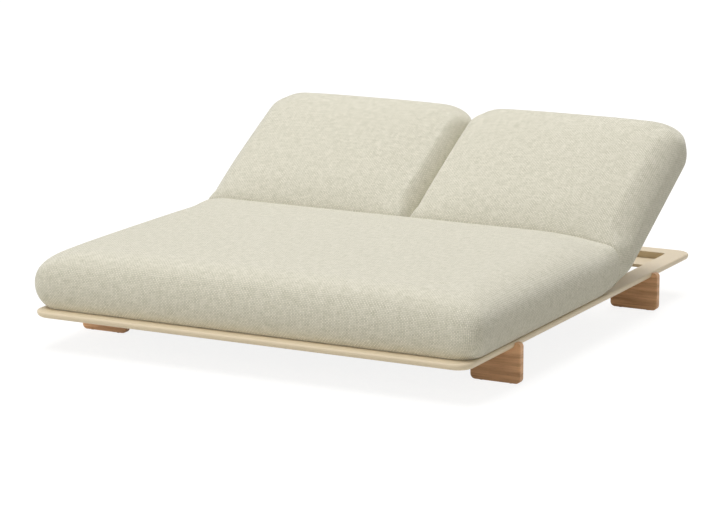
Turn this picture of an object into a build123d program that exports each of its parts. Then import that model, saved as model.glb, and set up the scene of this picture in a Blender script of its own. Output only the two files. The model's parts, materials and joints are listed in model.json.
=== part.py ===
from build123d import *
import math
import os

# Double chaise lounger: a low frame of flat rounded rails on four notched board legs, one wide
# seat cushion, and two backrests that recline by themselves, each held up by its own prop.
# Millimetres. +Z is up, +Y points to the head end, and the origin is on the floor, under the
# middle of the frame. The backrests are drawn raised, as they stand when someone sits down.

# Frame rails
FRAME_LENGTH = 2000.0
FRAME_WIDTH = 1694.0
FRAME_TOP = 146.0
RAIL_WIDTH = 80.0
RAIL_THICK = 24.0
RAIL_TOP_EASE = 7.0
RAIL_UNDER_ROUND = 16.0
RAIL_EDGE_EASE = 2.0
CORNER_RADIUS = 60.0
INNER_CORNER_RADIUS = 16.0
CUT_OVERRUN = 30.0

# Seat deck
SLAT_COUNT = 7
SLAT_WIDTH = 80.0
SLAT_THICK = 12.0
SLAT_EDGE_EASE = 2.0
SLAT_END_GAP = 0.5
LEDGE_WIDTH = 25.0
LEDGE_THICK = 6.0
BEAM_WIDTH = 50.0
BEAM_DEPTH = 24.0
CROSSBAR_WIDTH = 50.0
TUBE_WALL = 3.0

# Backrest hinge, in the middle of the rails' thickness
HINGE_SHARE = 0.115
HINGE_Y = FRAME_LENGTH * HINGE_SHARE
HINGE_Z = FRAME_TOP - RAIL_THICK / 2
HINGE_TUBE_RADIUS = 12.0
HINGE_TUBE_GAP = 18.0
HINGE_PIN_RADIUS = 5.0
HINGE_PIN_REACH = 22.0
BUSH_WALL = 3.0
BUSH_LENGTH = 24.0
BUSH_FLANGE = 1.5
HINGE_BLOCK_WIDTH = 52.0
HINGE_LUG_THICK = 7.0
HINGE_SIDE_GAP = 2.0
RUNNING_CLEARANCE = 0.05
SEAT_CLEARANCE = 0.02

# Backrest angle above flat, in degrees: as drawn, and at each notch of the racks
REST_ANGLE = 30.0
NOTCH_ANGLES = (15.0, 30.0, 45.0)

# Backrest frame, drawn lying flat, measured from the hinge
STILE_WIDTH = 30.0
STILE_TOP = RAIL_THICK / 2
STILE_BOTTOM = -11.5
STILE_EDGE_EASE = 2.0
BACK_FRAME_GAP = 14.0
BACK_FRAME_LENGTH = FRAME_LENGTH / 2 - RAIL_WIDTH - BACK_FRAME_GAP - HINGE_Y
HEAD_RAIL_WIDTH = 40.0
BACK_SLATS_PER_GROUP = 2
BACK_SLAT_WIDTH = 60.0
BACK_SLAT_THICK = 3.0
COPE_CLEARANCE = 0.05

# Prop: a bent tube that swings from the backrest's stiles, as long as its pivot is far from the
# hinge, so that its foot bar travels level, on a line through the hinge
PROP_SHARE = 0.4
PROP_LENGTH = BACK_FRAME_LENGTH * PROP_SHARE
PROP_TUBE_RADIUS = 7.0
PROP_BEND_RADIUS = 42.0
PROP_EYE_RADIUS = 9.0
PROP_EYE_THICK = 16.0
PROP_PIN_RADIUS = 4.0
PROP_PIN_HEAD_RADIUS = 7.0
PROP_PIN_HEAD_THICK = 2.5
PROP_SIDE_GAP = 1.5
PROP_PIN_NUT_GAP = 0.5

# Racks that carry the foot bar, and the bar and plate under them
RACK_THICK = 8.0
RACK_DEPTH = 26.0
RACK_INSET = 110.0
RACK_END_REACH = 10.0
RACK_HEAD_GAP = 6.0
RACK_FOOT_GAP = 0.4
NOTCH_DEPTH = 9.0
NOTCH_SLACK = 0.8
LAP_CLEARANCE = 0.1
REST_BAR_THICK = 12.0
REST_BAR_BEARING = 25.0
REAR_PLATE_FOOT_GAP = 30.0
FRONT_BAR_WIDTH = 40.0
FRONT_BAR_OFFSET = 80.0

# Board legs
LEG_WIDTH = 186.0
LEG_THICK = 26.0
LEG_OVERHANG = 23.0
LEG_LIP_DROP = 3.0
LEG_LIP_ROUND = 14.0
LEG_LIP_EASE = 4.0
LEG_CORNER_RADIUS = 18.0
LEG_EDGE_EASE = 2.0
LEG_NOTCH_CLEARANCE = 0.2
FRONT_LEG_SETBACK = 366.0
REAR_LEG_SETBACK = 420.0
GLIDE_RADIUS = 9.0
GLIDE_THICK = 5.0
GLIDE_PROUD = 1.5
GLIDE_INSET = 38.0
GLIDE_CLEARANCE = 0.1

# Leg brackets and screws
BRACKET_WIDTH = 60.0
BRACKET_HEIGHT = 60.0
BRACKET_FLANGE = 40.0
BRACKET_THICK = 4.0
BRACKET_BEND = 3.0
SCREW_RADIUS = 3.0
SCREW_HEAD_RADIUS = 5.5
SCREW_HEAD_THICK = 3.0
SCREW_GRIP = 16.0
SCREW_SPACING = 36.0
SCREW_CLEARANCE = 0.1

# Seat cushion: a plump pad, fuller at its sides than at its base
SEAT_OVERHANG = 24.0
SEAT_FRONT_SETBACK = 25.0
SEAT_CUSHION_THICK = 196.0
SEAT_BULGE_HEIGHT = 98.0
SEAT_BASE_INSET = 48.0
SEAT_TOP_INSET = 150.0
SEAT_CROWN = 10.0
SEAT_CORNER_RADIUS = 60.0
SEAT_BASE_CORNER_RADIUS = 26.0
SEAT_FOLD_LEAN = 12.0
SEAT_FOLD_GAP = 1.0
SIDE_DRAW_IN = 4.0
CUSHION_REST_GAP = 0.4
FOLD_CORNER_RADIUS = 45.0
FOLD_ROUND_INSET = 26.0

# Back cushions
BACK_OVERHANG = 36.0
BACK_MIDDLE_GAP = 2.0
BACK_HEAD_OVERHANG = 146.0
BACK_CUSHION_THICK = 179.0
BACK_BULGE_HEIGHT = 100.0
BACK_BASE_INSET = 60.0
BACK_TOP_INSET = 82.0
BACK_CROWN = 14.0
BACK_HEAD_RADIUS = 140.0
BACK_FOLD_LEAN = 34.0
BACK_FOLD_GAP = 1.0

# Shape of the cushions' sides: roundness of the section, and where its outlines are taken
LOWER_ROUNDNESS = 2.0
UPPER_ROUNDNESS = 2.0
LOWER_ANGLE_SHARES = (1.0, 0.58, 0.22)
UPPER_ANGLE_SHARES = (0.0, 0.25, 0.6, 0.86)
CROWN_INSET_SHARES = (0.34, 0.7)
CROWN_RISE_SHARES = (0.62, 1.0)

# Places worked out from the sizes above
FRAME_BOTTOM = FRAME_TOP - RAIL_THICK
INNER_HALF_WIDTH = FRAME_WIDTH / 2 - RAIL_WIDTH
INNER_HALF_LENGTH = FRAME_LENGTH / 2 - RAIL_WIDTH
DECK_BOTTOM = FRAME_TOP - SLAT_THICK
CROSSBAR_REAR = HINGE_Y - HINGE_TUBE_RADIUS - HINGE_TUBE_GAP
CROSSBAR_FRONT = CROSSBAR_REAR - CROSSBAR_WIDTH
BACK_INNER_X = HINGE_BLOCK_WIDTH / 2 + HINGE_SIDE_GAP
BACK_OUTER_X = INNER_HALF_WIDTH - HINGE_LUG_THICK - HINGE_SIDE_GAP
PROP_INNER_X = BACK_INNER_X + STILE_WIDTH + PROP_SIDE_GAP + PROP_EYE_THICK / 2
PROP_OUTER_X = BACK_OUTER_X - STILE_WIDTH - PROP_SIDE_GAP - PROP_EYE_THICK / 2
RACK_TOP = HINGE_Z - PROP_TUBE_RADIUS - RACK_FOOT_GAP
REAR_PLATE_REAR = INNER_HALF_LENGTH + REST_BAR_BEARING
FRONT_BAR_FRONT = HINGE_Y + FRONT_BAR_OFFSET
LEG_OUTER_X = FRAME_WIDTH / 2 + LEG_OVERHANG
LEG_INNER_X = LEG_OUTER_X - LEG_WIDTH
LEG_FRONTS = (FRONT_LEG_SETBACK - FRAME_LENGTH / 2, FRAME_LENGTH / 2 - REAR_LEG_SETBACK)
BRACKET_X = INNER_HALF_WIDTH + RAIL_WIDTH / 2
SEAT_HALF_WIDTH = FRAME_WIDTH / 2 + SEAT_OVERHANG
SEAT_FRONT = SEAT_FRONT_SETBACK - FRAME_LENGTH / 2
BACK_HALF_WIDTH = FRAME_WIDTH / 2 + BACK_OVERHANG
BACK_CUSHION_LENGTH = BACK_FRAME_LENGTH + BACK_HEAD_OVERHANG


# Helpers

def box_between(x0, x1, y0, y1, z0, z1):
    """A box between two corners."""
    block = Box(x1 - x0, y1 - y0, z1 - z0)
    return Pos((x0 + x1) / 2, (y0 + y1) / 2, (z0 + z1) / 2) * block


def rod_along_x(radius, x0, x1, y=0.0, z=0.0):
    """A round bar along X."""
    return Pos((x0 + x1) / 2, y, z) * Rot(0, 90, 0) * Cylinder(radius, x1 - x0)


def eased_bar(bar, axis, ease):
    """Ease the long edges of a straight bar."""
    return fillet(bar.edges().filter_by(axis), ease)


def raised(shape):
    """Put a backrest piece, drawn flat from the hinge, at the rest angle."""
    return Pos(0, HINGE_Y, HINGE_Z) * Rot(REST_ANGLE, 0, 0) * shape


def propped(shape):
    """Put a prop piece, drawn from its pivot, at the rest angle."""
    angle = math.radians(REST_ANGLE)
    pivot_y = HINGE_Y + PROP_LENGTH * math.cos(angle)
    pivot_z = HINGE_Z + PROP_LENGTH * math.sin(angle)
    return Pos(0, pivot_y, pivot_z) * Rot(-REST_ANGLE, 0, 0) * shape


def left_of(shape):
    """The same piece on the left side."""
    return mirror(shape, about=Plane.YZ)


def foot_y(angle):
    """Where the prop's foot bar stands with the backrest at an angle."""
    return HINGE_Y + 2 * PROP_LENGTH * math.cos(math.radians(angle))


# Frame

def rail_ring():
    """The whole rim before it is cut into rails: flat inside, its outer side drawn in below."""
    outer = RectangleRounded(FRAME_WIDTH, FRAME_LENGTH, CORNER_RADIUS)
    inner = RectangleRounded(2 * INNER_HALF_WIDTH, 2 * INNER_HALF_LENGTH, INNER_CORNER_RADIUS)
    ring = Pos(0, 0, FRAME_BOTTOM) * extrude(outer - inner, RAIL_THICK)
    ring = fillet(ring.faces().sort_by(Axis.Z)[-1].outer_wire().edges(), RAIL_TOP_EASE)
    ring = fillet(ring.faces().sort_by(Axis.Z)[0].outer_wire().edges(), RAIL_UNDER_ROUND)
    top = ring.faces().sort_by(Axis.Z)[-1]
    return fillet(top.inner_wires()[0].edges(), RAIL_EDGE_EASE)


def mitre_prism(points):
    """A prism that takes one rail out of the rim, along the mitres at the corners."""
    flat = make_face(Polyline(*points, close=True))
    return Pos(0, 0, FRAME_BOTTOM - CUT_OVERRUN) * extrude(flat, RAIL_THICK + 2 * CUT_OVERRUN)


def frame_rails():
    """Front, rear, left and right rails, mitred and welded at the corners."""
    ring = rail_ring()
    reach = CUT_OVERRUN
    out_x = FRAME_WIDTH / 2 + reach
    out_y = FRAME_LENGTH / 2 + reach
    in_x = INNER_HALF_WIDTH - reach
    in_y = INNER_HALF_LENGTH - reach
    rear = ring & mitre_prism([(-out_x, out_y), (out_x, out_y), (in_x, in_y), (-in_x, in_y)])
    side = ring & mitre_prism([(out_x, -out_y), (out_x, out_y), (in_x, in_y), (in_x, -in_y)])
    for leg_front in LEG_FRONTS:
        side = side - rail_screw_holes(leg_front)
    return {
        "front_rail": mirror(rear, about=Plane.XZ),
        "rear_rail": rear,
        "right_rail": side,
        "left_rail": left_of(side),
    }


def hollow_bar(x0, x1, y0, y1, z0, z1, along):
    """A rectangular tube with open ends."""
    bar = eased_bar(box_between(x0, x1, y0, y1, z0, z1), along, SLAT_EDGE_EASE)
    wall_x = TUBE_WALL if along == Axis.Y else -CUT_OVERRUN
    wall_y = TUBE_WALL if along == Axis.X else -CUT_OVERRUN
    return bar - box_between(
        x0 + wall_x, x1 - wall_x, y0 + wall_y, y1 - wall_y, z0 + TUBE_WALL, z1 - TUBE_WALL
    )


def seat_deck():
    """Slats across the seat, the ledges and beam that carry them, and the bar behind them."""
    parts = {}
    run = CROSSBAR_FRONT + INNER_HALF_LENGTH
    gap = (run - SLAT_COUNT * SLAT_WIDTH) / (SLAT_COUNT + 1)
    half = INNER_HALF_WIDTH - SLAT_END_GAP
    for index in range(SLAT_COUNT):
        front = -INNER_HALF_LENGTH + gap + index * (SLAT_WIDTH + gap)
        slat = box_between(-half, half, front, front + SLAT_WIDTH, DECK_BOTTOM, FRAME_TOP)
        parts[f"seat_slat_{index + 1}"] = eased_bar(slat, Axis.X, SLAT_EDGE_EASE)
    ledge = box_between(
        INNER_HALF_WIDTH - LEDGE_WIDTH, INNER_HALF_WIDTH, -INNER_HALF_LENGTH + INNER_CORNER_RADIUS,
        CROSSBAR_FRONT, DECK_BOTTOM - LEDGE_THICK, DECK_BOTTOM
    )
    parts["slat_ledge_right"] = ledge
    parts["slat_ledge_left"] = left_of(ledge)
    parts["centre_beam"] = hollow_bar(
        -BEAM_WIDTH / 2, BEAM_WIDTH / 2, -INNER_HALF_LENGTH, CROSSBAR_FRONT,
        DECK_BOTTOM - BEAM_DEPTH, DECK_BOTTOM, Axis.Y
    )
    parts["hinge_crossbar"] = hollow_bar(
        -INNER_HALF_WIDTH, INNER_HALF_WIDTH, CROSSBAR_FRONT, CROSSBAR_REAR,
        FRAME_BOTTOM, FRAME_TOP, Axis.X
    )
    return parts


# Hinges

def hinge_plate(x0, x1):
    """A lug or block that stands behind the crossbar, round about the hinge axis."""
    plate = box_between(
        x0, x1, CROSSBAR_REAR, HINGE_Y, HINGE_Z - HINGE_TUBE_RADIUS, HINGE_Z + HINGE_TUBE_RADIUS
    )
    plate = plate + rod_along_x(HINGE_TUBE_RADIUS, x0, x1, HINGE_Y, HINGE_Z)
    hole = rod_along_x(
        HINGE_PIN_RADIUS + SEAT_CLEARANCE, x0 - CUT_OVERRUN, x1 + CUT_OVERRUN, HINGE_Y, HINGE_Z
    )
    return plate - hole


def fixed_hinge_parts():
    """The block between the backrests, the lugs at the sides, and the pins they hold."""
    block_half = HINGE_BLOCK_WIDTH / 2
    pin_half = block_half + HINGE_SIDE_GAP + HINGE_PIN_REACH
    lug = hinge_plate(INNER_HALF_WIDTH - HINGE_LUG_THICK, INNER_HALF_WIDTH)
    side_pin = rod_along_x(
        HINGE_PIN_RADIUS, BACK_OUTER_X - HINGE_PIN_REACH, INNER_HALF_WIDTH, HINGE_Y, HINGE_Z
    )
    return {
        "hinge_block": hinge_plate(-block_half, block_half),
        "hinge_pin_centre": rod_along_x(HINGE_PIN_RADIUS, -pin_half, pin_half, HINGE_Y, HINGE_Z),
        "hinge_lug_right": lug,
        "hinge_lug_left": left_of(lug),
        "hinge_pin_right": side_pin,
        "hinge_pin_left": left_of(side_pin),
    }


def bush(x0, x1, flange_x):
    """A bearing bush for one end of the hinge tube, with a thin flange against the lug."""
    radius = HINGE_PIN_RADIUS + RUNNING_CLEARANCE
    sleeve = rod_along_x(radius + BUSH_WALL, x0, x1)
    low, high = sorted((flange_x, x0 if flange_x < x0 else x1))
    flange = rod_along_x(HINGE_TUBE_RADIUS - 2 * SEAT_CLEARANCE, low, high)
    return sleeve + flange - rod_along_x(radius, x0 - CUT_OVERRUN, x1 + CUT_OVERRUN)


def hinge_bushes():
    """The two bushes of the right backrest."""
    inner = bush(BACK_INNER_X, BACK_INNER_X + BUSH_LENGTH, BACK_INNER_X - BUSH_FLANGE)
    outer = bush(BACK_OUTER_X - BUSH_LENGTH, BACK_OUTER_X, BACK_OUTER_X + BUSH_FLANGE)
    return Compound(children=[inner, outer])


# Backrest frame, drawn flat from the hinge

def hinge_tube():
    """The tube that turns on the pins and joins the stiles."""
    bore = HINGE_PIN_RADIUS + RUNNING_CLEARANCE + BUSH_WALL + SEAT_CLEARANCE
    tube = rod_along_x(HINGE_TUBE_RADIUS, BACK_INNER_X, BACK_OUTER_X)
    return tube - rod_along_x(bore, BACK_INNER_X - CUT_OVERRUN, BACK_OUTER_X + CUT_OVERRUN)


def stile(x0):
    """A side member, coped over the hinge tube, with a hole for the prop's pin."""
    bar = box_between(x0, x0 + STILE_WIDTH, 0, BACK_FRAME_LENGTH, STILE_BOTTOM, STILE_TOP)
    bar = eased_bar(bar, Axis.Y, STILE_EDGE_EASE)
    x_low = x0 - CUT_OVERRUN
    x_high = x0 + STILE_WIDTH + CUT_OVERRUN
    cope = rod_along_x(HINGE_TUBE_RADIUS + COPE_CLEARANCE, x_low, x_high)
    hole = rod_along_x(PROP_PIN_RADIUS + SEAT_CLEARANCE, x_low, x_high, PROP_LENGTH)
    return bar - cope - hole


def back_slat_starts():
    """Slats in two even groups, before and after the prop's pivots."""
    before = (HINGE_TUBE_RADIUS, PROP_LENGTH - PROP_EYE_RADIUS)
    after = (PROP_LENGTH + PROP_EYE_RADIUS, BACK_FRAME_LENGTH - HEAD_RAIL_WIDTH)
    starts = []
    for low, high in (before, after):
        gap = (high - low - BACK_SLATS_PER_GROUP * BACK_SLAT_WIDTH) / (BACK_SLATS_PER_GROUP + 1)
        for index in range(BACK_SLATS_PER_GROUP):
            starts.append(low + gap + index * (BACK_SLAT_WIDTH + gap))
    return starts


def back_frame():
    """The welded frame under the right back cushion."""
    inner = BACK_INNER_X + STILE_WIDTH
    outer = BACK_OUTER_X - STILE_WIDTH
    head = box_between(
        inner, outer, BACK_FRAME_LENGTH - HEAD_RAIL_WIDTH, BACK_FRAME_LENGTH, STILE_BOTTOM, STILE_TOP
    )
    parts = {
        "back_hinge_tube": hinge_tube(),
        "back_stile_inner": stile(BACK_INNER_X),
        "back_stile_outer": stile(outer),
        "back_head_rail": eased_bar(head, Axis.X, STILE_EDGE_EASE),
        "hinge_bushes": hinge_bushes(),
    }
    for index, start in enumerate(back_slat_starts()):
        slat = box_between(
            inner, outer, start, start + BACK_SLAT_WIDTH, STILE_TOP - BACK_SLAT_THICK, STILE_TOP
        )
        parts[f"back_slat_{index + 1}"] = slat
    return parts


# Prop, drawn from its pivot towards its foot

def prop_stay():
    """A round tube bent to a U: two legs with eyes, and the foot bar between them."""
    path = FilletPolyline(
        (PROP_INNER_X, 0), (PROP_INNER_X, PROP_LENGTH), (PROP_OUTER_X, PROP_LENGTH),
        (PROP_OUTER_X, 0), radius=PROP_BEND_RADIUS
    )
    start = Plane(origin=(PROP_INNER_X, 0, 0), z_dir=(0, 1, 0))
    stay = sweep(start * Circle(PROP_TUBE_RADIUS), path=path)
    for x in (PROP_INNER_X, PROP_OUTER_X):
        stay = stay + rod_along_x(PROP_EYE_RADIUS, x - PROP_EYE_THICK / 2, x + PROP_EYE_THICK / 2)
    bore = rod_along_x(
        PROP_PIN_RADIUS + RUNNING_CLEARANCE, PROP_INNER_X - CUT_OVERRUN, PROP_OUTER_X + CUT_OVERRUN
    )
    return stay - bore


def prop_pins():
    """The headed pins that join the stay's eyes to the stiles, drawn flat from the hinge."""
    pins = []
    for eye_x, side in ((PROP_INNER_X, -1), (PROP_OUTER_X, 1)):
        stile_far = eye_x + side * (PROP_EYE_THICK / 2 + PROP_SIDE_GAP + STILE_WIDTH - TUBE_WALL)
        head_near = eye_x - side * (PROP_EYE_THICK / 2 + PROP_PIN_NUT_GAP)
        head_far = head_near - side * PROP_PIN_HEAD_THICK
        shank = rod_along_x(PROP_PIN_RADIUS, *sorted((stile_far, head_near)), PROP_LENGTH)
        head = rod_along_x(PROP_PIN_HEAD_RADIUS, *sorted((head_near, head_far)), PROP_LENGTH)
        pins.append(shank + head)
    return Compound(children=pins)


# Racks, and the bar and plate under them

def rest_bar_spans():
    """Where the front bar and the rear plate start and end; the plate clears the lowest notch."""
    last_notch = foot_y(NOTCH_ANGLES[0]) + PROP_TUBE_RADIUS + NOTCH_SLACK
    return (
        (FRONT_BAR_FRONT, FRONT_BAR_FRONT + FRONT_BAR_WIDTH),
        (last_notch + REAR_PLATE_FOOT_GAP, REAR_PLATE_REAR),
    )


def rest_bar(y0, y1):
    """A flat bar that runs under both side rails."""
    half = INNER_HALF_WIDTH + REST_BAR_BEARING
    bar = box_between(-half, half, y0, y1, FRAME_BOTTOM - REST_BAR_THICK, FRAME_BOTTOM)
    return eased_bar(bar, Axis.X, SLAT_EDGE_EASE)


def rack(x):
    """A notched plate on edge, lapped over the bars; the foot bar drops into its notches."""
    y0 = FRONT_BAR_FRONT - RACK_END_REACH
    y1 = HINGE_Y + BACK_FRAME_LENGTH - HEAD_RAIL_WIDTH - RACK_HEAD_GAP
    plate = box_between(
        x - RACK_THICK / 2, x + RACK_THICK / 2, y0, y1, RACK_TOP - RACK_DEPTH, RACK_TOP
    )
    x0 = x - RACK_THICK
    x1 = x + RACK_THICK
    half = PROP_TUBE_RADIUS + NOTCH_SLACK
    for angle in NOTCH_ANGLES:
        y = foot_y(angle)
        plate = plate - box_between(x0, x1, y - half, y + half, RACK_TOP, RACK_TOP + CUT_OVERRUN)
        plate = plate - rod_along_x(half, x0, x1, y, RACK_TOP - NOTCH_DEPTH + half)
        plate = plate - box_between(x0, x1, y - half, y + half, RACK_TOP - NOTCH_DEPTH + half, RACK_TOP)
    for bar_front, bar_rear in rest_bar_spans():
        plate = plate - box_between(
            x0, x1, bar_front - LAP_CLEARANCE, bar_rear + LAP_CLEARANCE,
            RACK_TOP - RACK_DEPTH - CUT_OVERRUN, FRAME_BOTTOM + LAP_CLEARANCE
        )
    return plate


def racks_and_bars():
    """Four racks, two under each backrest, and the bar and plate that carry them."""
    inner = rack(PROP_INNER_X + RACK_INSET)
    outer = rack(PROP_OUTER_X - RACK_INSET)
    front_span, rear_span = rest_bar_spans()
    return {
        "rest_bar_rear": rest_bar(*rear_span),
        "rest_bar_front": rest_bar(*front_span),
        "rack_right_inner": inner,
        "rack_right_outer": outer,
        "rack_left_inner": left_of(inner),
        "rack_left_outer": left_of(outer),
    }


# Legs

def rail_notch():
    """The rail's section and a little clearance, open to above, so that the board goes in from below."""
    grow = LEG_NOTCH_CLEARANCE
    right = FRAME_WIDTH / 2 + grow
    reach = right - LEG_INNER_X + CUT_OVERRUN
    body = Pos(right - reach / 2, HINGE_Z) * Rectangle(reach, RAIL_THICK + 2 * grow)
    body = fillet(body.vertices().sort_by(Axis.Y)[:2].sort_by(Axis.X)[-1], RAIL_UNDER_ROUND + grow)
    return body + Pos(right - reach / 2, FRAME_TOP) * Rectangle(reach, RAIL_THICK)


def leg_board(leg_front):
    """A board across the rail's line, notched so that the rail's outer side is let in."""
    height = FRAME_TOP - LEG_LIP_DROP - GLIDE_PROUD
    middle = GLIDE_PROUD + height / 2
    board = Pos((LEG_INNER_X + LEG_OUTER_X) / 2, middle) * Rectangle(LEG_WIDTH, height)
    low = board.vertices().group_by(Axis.Y)[0]
    board = fillet(low, LEG_CORNER_RADIUS) - rail_notch()
    board = fillet(board.vertices().group_by(Axis.Y)[-1].sort_by(Axis.X)[-1], LEG_LIP_ROUND)
    board = fillet(board.vertices().group_by(Axis.Y)[-1].sort_by(Axis.X)[0], LEG_LIP_EASE)
    plane = Plane(origin=(0, leg_front + LEG_THICK, 0), z_dir=(0, -1, 0), x_dir=(1, 0, 0))
    leg = extrude(plane * board, LEG_THICK)
    faces = leg.faces().sort_by(Axis.Y)
    rim = faces[0].edges() + faces[-1].edges()
    leg = fillet([edge for edge in rim if edge.center().Z < FRAME_BOTTOM / 2], LEG_EDGE_EASE)
    for x in glide_places():
        recess = Cylinder(GLIDE_RADIUS + GLIDE_CLEARANCE, 2 * (GLIDE_THICK - GLIDE_PROUD))
        leg = leg - Pos(x, leg_front + LEG_THICK / 2, GLIDE_PROUD) * recess
    return leg - board_screw_holes(leg_front)


def glide_places():
    """Two glides under each board."""
    return (LEG_INNER_X + GLIDE_INSET, LEG_OUTER_X - GLIDE_INSET)


def leg_glides():
    """Small round glides, let into the boards' lower edges."""
    glides = []
    for leg_front in LEG_FRONTS:
        for x in glide_places():
            glide = Pos(x, leg_front + LEG_THICK / 2, GLIDE_THICK / 2) * Cylinder(GLIDE_RADIUS, GLIDE_THICK)
            glides.append(glide)
            glides.append(left_of(glide))
    return Compound(children=glides)


def leg_bracket(leg_front):
    """A bent plate behind the board, under the rail."""
    y0 = leg_front + LEG_THICK
    x0 = BRACKET_X - BRACKET_WIDTH / 2
    x1 = BRACKET_X + BRACKET_WIDTH / 2
    upright = box_between(x0, x1, y0, y0 + BRACKET_THICK, FRAME_BOTTOM - BRACKET_HEIGHT, FRAME_BOTTOM)
    flange = box_between(x0, x1, y0, y0 + BRACKET_FLANGE, FRAME_BOTTOM - BRACKET_THICK, FRAME_BOTTOM)
    plate = upright + flange
    inner_edge = plate.edges().filter_by(Axis.X).sort_by_distance(
        (BRACKET_X, y0 + BRACKET_THICK, FRAME_BOTTOM - BRACKET_THICK)
    )[0]
    plate = fillet(inner_edge, BRACKET_BEND)
    return plate - board_screw_holes(leg_front) - rail_screw_holes(leg_front)


def screw_xs():
    """Two screws side by side in each flange."""
    return (BRACKET_X - SCREW_SPACING / 2, BRACKET_X + SCREW_SPACING / 2)


def board_screw_z():
    return FRAME_BOTTOM - BRACKET_HEIGHT / 2 - BRACKET_THICK


def rail_screw_y(leg_front):
    return leg_front + LEG_THICK + (BRACKET_FLANGE + BRACKET_THICK) / 2


def board_screw_holes(leg_front):
    """Holes from behind, through the bracket and into the board."""
    length = SCREW_GRIP + BRACKET_THICK + SCREW_CLEARANCE
    y = leg_front + LEG_THICK + BRACKET_THICK - length / 2
    hole = Rot(90, 0, 0) * Cylinder(SCREW_RADIUS + SCREW_CLEARANCE, length)
    return Compound(children=[Pos(x, y, board_screw_z()) * hole for x in screw_xs()])


def rail_screw_holes(leg_front):
    """Holes from below, through the bracket and into the rail."""
    length = SCREW_GRIP + BRACKET_THICK + SCREW_CLEARANCE
    z = FRAME_BOTTOM - BRACKET_THICK + length / 2
    hole = Cylinder(SCREW_RADIUS + SCREW_CLEARANCE, length)
    return Compound(children=[Pos(x, rail_screw_y(leg_front), z) * hole for x in screw_xs()])


def screw():
    """A pan head screw that points up, from the underside of the plate at zero."""
    shank = Pos(0, 0, (SCREW_GRIP + BRACKET_THICK) / 2) * Cylinder(SCREW_RADIUS, SCREW_GRIP + BRACKET_THICK)
    head = Pos(0, 0, -SCREW_HEAD_THICK / 2) * Cylinder(SCREW_HEAD_RADIUS, SCREW_HEAD_THICK)
    return shank + head


def leg_screws():
    """All the screws of the four brackets."""
    screws = []
    for leg_front in LEG_FRONTS:
        for x in screw_xs():
            up = Pos(x, rail_screw_y(leg_front), FRAME_BOTTOM - BRACKET_THICK) * screw()
            ahead = Pos(x, leg_front + LEG_THICK + BRACKET_THICK, board_screw_z()) * Rot(90, 0, 0) * screw()
            screws += [up, ahead, left_of(up), left_of(ahead)]
    return Compound(children=screws)


def legs():
    """Four board legs with their brackets, screws and glides."""
    parts = {}
    brackets = []
    for name, leg_front in zip(("front", "rear"), LEG_FRONTS):
        board = leg_board(leg_front)
        parts[f"leg_{name}_right"] = board
        parts[f"leg_{name}_left"] = left_of(board)
        bracket = leg_bracket(leg_front)
        brackets += [bracket, left_of(bracket)]
    parts["leg_brackets"] = Compound(children=brackets)
    parts["leg_screws"] = leg_screws()
    parts["leg_glides"] = leg_glides()
    return parts


# Cushions

def soft_outline(low, high, radius_low, radius_high, draw):
    """A level outline with round corners and sides drawn in a little between them."""
    x0, y0 = low
    x1, y1 = high
    xm = (x0 + x1) / 2
    ym = (y0 + y1) / 2
    a = radius_low
    b = radius_high
    bend = 1 - math.sqrt(0.5)
    return make_face([
        ThreePointArc((x0 + a, y0), (xm, y0 + draw), (x1 - a, y0)),
        ThreePointArc((x1 - a, y0), (x1 - a * bend, y0 + a * bend), (x1, y0 + a)),
        ThreePointArc((x1, y0 + a), (x1 - draw, ym), (x1, y1 - b)),
        ThreePointArc((x1, y1 - b), (x1 - b * bend, y1 - b * bend), (x1 - b, y1)),
        ThreePointArc((x1 - b, y1), (xm, y1 - draw), (x0 + b, y1)),
        ThreePointArc((x0 + b, y1), (x0 + b * bend, y1 - b * bend), (x0, y1 - b)),
        ThreePointArc((x0, y1 - b), (x0 + draw, ym), (x0, y0 + a)),
        ThreePointArc((x0, y0 + a), (x0 + a * bend, y0 + a * bend), (x0 + a, y0)),
    ])


def round_section(base_inset, top_inset, bulge_height, thick, crown, crown_inset):
    """Height, inset and rise share of each outline, from the base up over the crown."""
    rows = []
    for share in LOWER_ANGLE_SHARES:
        angle = share * math.pi / 2
        drop = math.sin(angle) ** (2 / LOWER_ROUNDNESS)
        pull = 1 - math.cos(angle) ** (2 / LOWER_ROUNDNESS)
        rows.append((bulge_height * (1 - drop), base_inset * pull))
    for share in UPPER_ANGLE_SHARES:
        angle = share * math.pi / 2
        lift = math.sin(angle) ** (2 / UPPER_ROUNDNESS)
        pull = 1 - math.cos(angle) ** (2 / UPPER_ROUNDNESS)
        rows.append((bulge_height + (thick - bulge_height) * lift, top_inset * pull))
    for inset_share, rise_share in zip(CROWN_INSET_SHARES, CROWN_RISE_SHARES):
        inset = top_inset + (crown_inset - top_inset) * inset_share
        rows.append((thick + crown * rise_share, inset))
    return rows


def stacked_loft(sections):
    """Smooth lofts one above the other, each through a few outlines, joined into one body."""
    bulge = len(LOWER_ANGLE_SHARES)
    shoulder = bulge + len(UPPER_ANGLE_SHARES) - 1
    lower = loft(sections[:bulge + 1])
    upper = loft(sections[bulge:shoulder + 1])
    crown = loft(sections[shoulder:])
    return lower + upper + crown


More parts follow.
